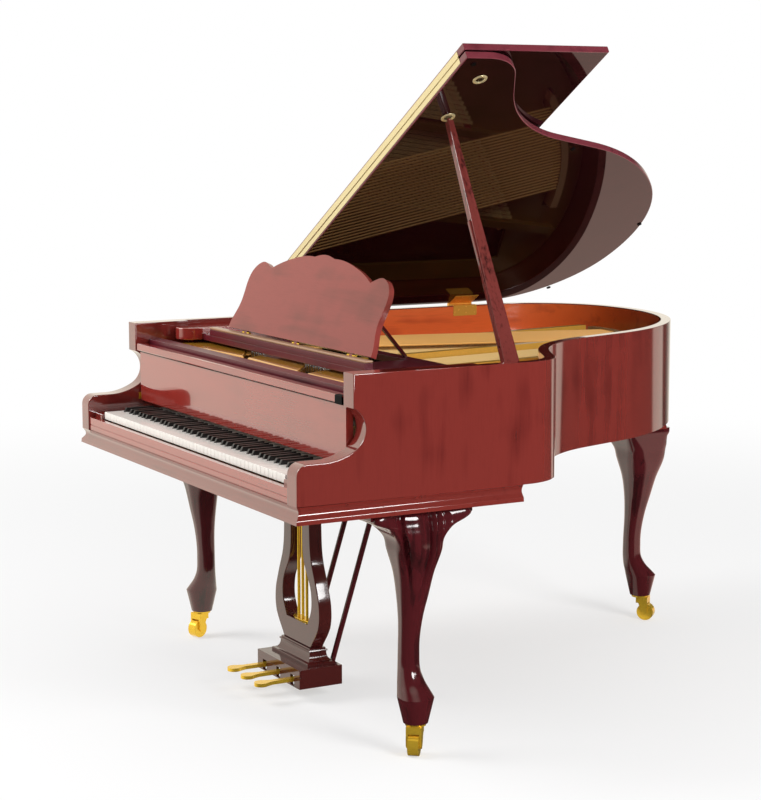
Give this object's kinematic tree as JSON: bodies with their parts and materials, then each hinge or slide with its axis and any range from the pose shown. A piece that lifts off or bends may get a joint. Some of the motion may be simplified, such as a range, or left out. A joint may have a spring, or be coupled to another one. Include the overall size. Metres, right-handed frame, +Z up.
{
  "type": "grand piano",
  "caption": "Grand piano with scrolled arms on cabriole legs, lid raised on its prop, shaped music desk and a pedal lyre.",
  "frame": {"origin": "on the floor, below the middle of the box round the whole piano with its lid open", "axes": "+X to the treble side, +Y from the keyboard to the tail, +Z up"},
  "size_m": [1.4882, 1.7979, 1.8077],
  "materials": {
    "mahogany": "high-gloss red-brown polish with vertical grain",
    "mahogany_lid": "high-gloss red-brown polish",
    "dark_mahogany": "dark glossy red-brown polish",
    "inner_veneer": "glossy orange-red veneer",
    "beech": "plain light hardwood",
    "spruce": "satin lacquered spruce",
    "maple": "satin maple",
    "gold_iron": "gold lacquer on cast iron",
    "brass": "polished",
    "steel": "bright wire and pins",
    "copper_wound": "copper-wound wire",
    "white_key": "gloss white key covering",
    "black_key": "satin black key",
    "felt": "felt",
    "damper": "black lacquered damper heads",
    "rubber": "rubber"
  },
  "bodies": {
    "case": {"case_rim": "mahogany", "inner_rim": "beech", "key_bed": "dark_mahogany", "base_mouldings": "mahogany", "back_frame": "beech", "soundboard": "spruce", "soundboard_ribs": "spruce", "iron_plate": "gold_iron", "bridges": "maple", "pin_block": "maple", "tuning_pins": "steel", "treble_strings": "steel", "bass_strings": "copper_wound", "key_slip": "mahogany", "key_blocks": "mahogany", "fallboard_pivots": "brass", "lid_hinge_rim_leaves": "brass", "prop_bracket": "brass", "desk_runners": "dark_mahogany", "front_legs": "dark_mahogany", "rear_leg": "dark_mahogany", "lyre_frame": "mahogany", "pedal_box": "mahogany", "pedal_shaft": "steel", "lyre_braces": "dark_mahogany"},
    "lid": {"lid_main": "mahogany_lid", "piano_hinge_lid_leaf": "brass", "lid_hinge_lid_leaves": "brass", "prop_cups": "brass", "lid_buttons": "rubber"},
    "flap": {"lid_flap": "mahogany_lid", "piano_hinge_flap_leaf": "brass"},
    "long_prop": {"prop_long": "mahogany"},
    "short_prop": {"prop_short": "mahogany"},
    "tray": {"desk_tray": "mahogany", "desk_hinges": "brass"},
    "desk": {"desk_panel": "mahogany"},
    "struts": {"desk_struts": "mahogany"},
    "fallboard": {"fallboard": "mahogany"},
    "action": {"key_frame": "beech", "hammers": "felt"},
    "white_keys": {"white_keys": "white_key"},
    "black_keys": {"black_keys": "black_key"},
    "key_f": {"key_f": "white_key"},
    "key_f_sharp": {"key_f_sharp": "black_key"},
    "key_g": {"key_g": "white_key"},
    "key_g_sharp": {"key_g_sharp": "black_key"},
    "dampers": {"dampers": "damper"},
    "fork_front_left": {"caster_fork_front_left": "brass"},
    "wheel_front_left": {"caster_wheel_front_left": "brass"},
    "fork_front_right": {"caster_fork_front_right": "brass"},
    "wheel_front_right": {"caster_wheel_front_right": "brass"},
    "fork_rear": {"caster_fork_rear": "brass"},
    "wheel_rear": {"caster_wheel_rear": "brass"},
    "pedal_left": {"pedal_left": "brass"},
    "rod_left": {"pedal_rod_left": "brass"},
    "pedal_middle": {"pedal_middle": "brass"},
    "rod_middle": {"pedal_rod_middle": "brass"},
    "pedal_right": {"pedal_right": "brass"},
    "rod_right": {"pedal_rod_right": "brass"}
  },
  "joints": [
    {"name": "lid_hinge", "type": "hinge", "parent": "case", "child": "lid", "pos_m": [-0.72456, -0.89603, 1.0015], "axis": [0, -1, 0], "range_deg": [0, 45]},
    {"name": "flap_hinge", "type": "hinge", "parent": "lid", "child": "flap", "pos_m": [-0.10787, -0.30253, 1.40304], "axis": [0.8554, 0, 0.518], "range_deg": [0, 180]},
    {"name": "prop_hinge", "type": "hinge", "parent": "case", "child": "long_prop", "pos_m": [0.67294, -0.24103, 0.975], "axis": [0.8594, 0, 0.5113], "range_deg": [0, 57]},
    {"name": "short_prop_hinge", "type": "hinge", "parent": "long_prop", "child": "short_prop", "pos_m": [0.63688, -0.25103, 1.03561], "axis": [0.8594, 0, 0.5113], "range_deg": [0, 25]},
    {"name": "tray_slide", "type": "slide", "parent": "case", "child": "tray", "axis": [0, 1, 0], "range_m": [-0.15, 0]},
    {"name": "desk_hinge", "type": "hinge", "parent": "tray", "child": "desk", "pos_m": [0.01094, -0.53003, 0.992], "axis": [1, 0, 0], "range_deg": [-67.4, 0]},
    {"name": "strut_hinge", "type": "hinge", "parent": "desk", "child": "struts", "pos_m": [0.01094, -0.45869, 1.12695], "axis": [1, 0, 0], "range_deg": [0, 116.87]},
    {"name": "fallboard_hinge", "type": "hinge", "parent": "case", "child": "fallboard", "pos_m": [0.01094, -0.72203, 0.778], "axis": [1, 0, 0], "range_deg": [0, 96]},
    {"name": "action_shift", "type": "slide", "parent": "case", "child": "action", "axis": [1, 0, 0], "range_m": [0, 0.0032]},
    {"name": "white_keys_hinge", "type": "hinge", "parent": "action", "child": "white_keys", "pos_m": [0.01094, -0.65103, 0.7177], "axis": [1, 0, 0], "range_deg": [0, 2.6], "stiffness_Nm_per_rad": 50, "springref_deg": -8.59},
    {"name": "black_keys_hinge", "type": "hinge", "parent": "action", "child": "black_keys", "pos_m": [0.01094, -0.65103, 0.7177], "axis": [1, 0, 0], "range_deg": [0, 2.6], "stiffness_Nm_per_rad": 34, "springref_deg": -8.59},
    {"name": "key_f_hinge", "type": "hinge", "parent": "action", "child": "key_f", "pos_m": [0.01094, -0.65103, 0.7177], "axis": [1, 0, 0], "range_deg": [0, 2.6], "stiffness_Nm_per_rad": 1, "springref_deg": -8.59},
    {"name": "key_f_sharp_hinge", "type": "hinge", "parent": "action", "child": "key_f_sharp", "pos_m": [0.01094, -0.65103, 0.7177], "axis": [1, 0, 0], "range_deg": [0, 2.6], "stiffness_Nm_per_rad": 1, "springref_deg": -8.59},
    {"name": "key_g_hinge", "type": "hinge", "parent": "action", "child": "key_g", "pos_m": [0.01094, -0.65103, 0.7177], "axis": [1, 0, 0], "range_deg": [0, 2.6], "stiffness_Nm_per_rad": 1, "springref_deg": -8.59},
    {"name": "key_g_sharp_hinge", "type": "hinge", "parent": "action", "child": "key_g_sharp", "pos_m": [0.01094, -0.65103, 0.7177], "axis": [1, 0, 0], "range_deg": [0, 2.6], "stiffness_Nm_per_rad": 1, "springref_deg": -8.59},
    {"name": "damper_lift", "type": "slide", "parent": "case", "child": "dampers", "axis": [0, 0, 1], "range_m": [0, 0.0052]},
    {"name": "pedal_left_hinge", "type": "hinge", "parent": "case", "child": "pedal_left", "pos_m": [0.01094, -0.56403, 0.057], "axis": [1, 0, 0], "range_deg": [0, 6], "stiffness_Nm_per_rad": 30, "springref_deg": -5.73},
    {"name": "rod_left_lift", "type": "slide", "parent": "case", "child": "rod_left", "axis": [0, 0, 1], "range_m": [0, 0.0058]},
    {"name": "pedal_middle_hinge", "type": "hinge", "parent": "case", "child": "pedal_middle", "pos_m": [0.01094, -0.56403, 0.057], "axis": [1, 0, 0], "range_deg": [0, 6], "stiffness_Nm_per_rad": 30, "springref_deg": -5.73},
    {"name": "rod_middle_lift", "type": "slide", "parent": "case", "child": "rod_middle", "axis": [0, 0, 1], "range_m": [0, 0.0058]},
    {"name": "pedal_right_hinge", "type": "hinge", "parent": "case", "child": "pedal_right", "pos_m": [0.01094, -0.56403, 0.057], "axis": [1, 0, 0], "range_deg": [0, 6], "stiffness_Nm_per_rad": 30, "springref_deg": -5.73},
    {"name": "rod_right_lift", "type": "slide", "parent": "case", "child": "rod_right", "axis": [0, 0, 1], "range_m": [0, 0.0058]},
    {"name": "swivel_front_left", "type": "hinge", "parent": "case", "child": "fork_front_left", "pos_m": [-0.66306, -0.53203, 0.082], "axis": [0, 0, 1], "continuous": true},
    {"name": "roll_front_left", "type": "hinge", "parent": "fork_front_left", "child": "wheel_front_left", "pos_m": [-0.65622, -0.55082, 0.027], "axis": [0.9397, 0.342, 0], "continuous": true},
    {"name": "swivel_front_right", "type": "hinge", "parent": "case", "child": "fork_front_right", "pos_m": [0.68494, -0.53203, 0.082], "axis": [0, 0, 1], "continuous": true},
    {"name": "roll_front_right", "type": "hinge", "parent": "fork_front_right", "child": "wheel_front_right", "pos_m": [0.70026, -0.54488, 0.027], "axis": [0.6428, 0.766, 0], "continuous": true},
    {"name": "swivel_rear", "type": "hinge", "parent": "case", "child": "fork_rear", "pos_m": [-0.16426, 0.80303, 0.082], "axis": [0, 0, 1], "continuous": true},
    {"name": "roll_rear", "type": "hinge", "parent": "fork_rear", "child": "wheel_rear", "pos_m": [-0.14894, 0.81588, 0.027], "axis": [-0.6428, 0.766, 0], "continuous": true}
  ],
  "couplings": [
    {"joint": "strut_hinge", "follows": "desk_hinge", "ratio": -1.7266},
    {"joint": "action_shift", "follows": "pedal_left_hinge", "m_per_rad": 0.02865},
    {"joint": "damper_lift", "follows": "pedal_right_hinge", "m_per_rad": 0.0477},
    {"joint": "rod_left_lift", "follows": "pedal_left_hinge", "m_per_rad": 0.0545},
    {"joint": "rod_middle_lift", "follows": "pedal_middle_hinge", "m_per_rad": 0.0545},
    {"joint": "rod_right_lift", "follows": "pedal_right_hinge", "m_per_rad": 0.0545}
  ]
}
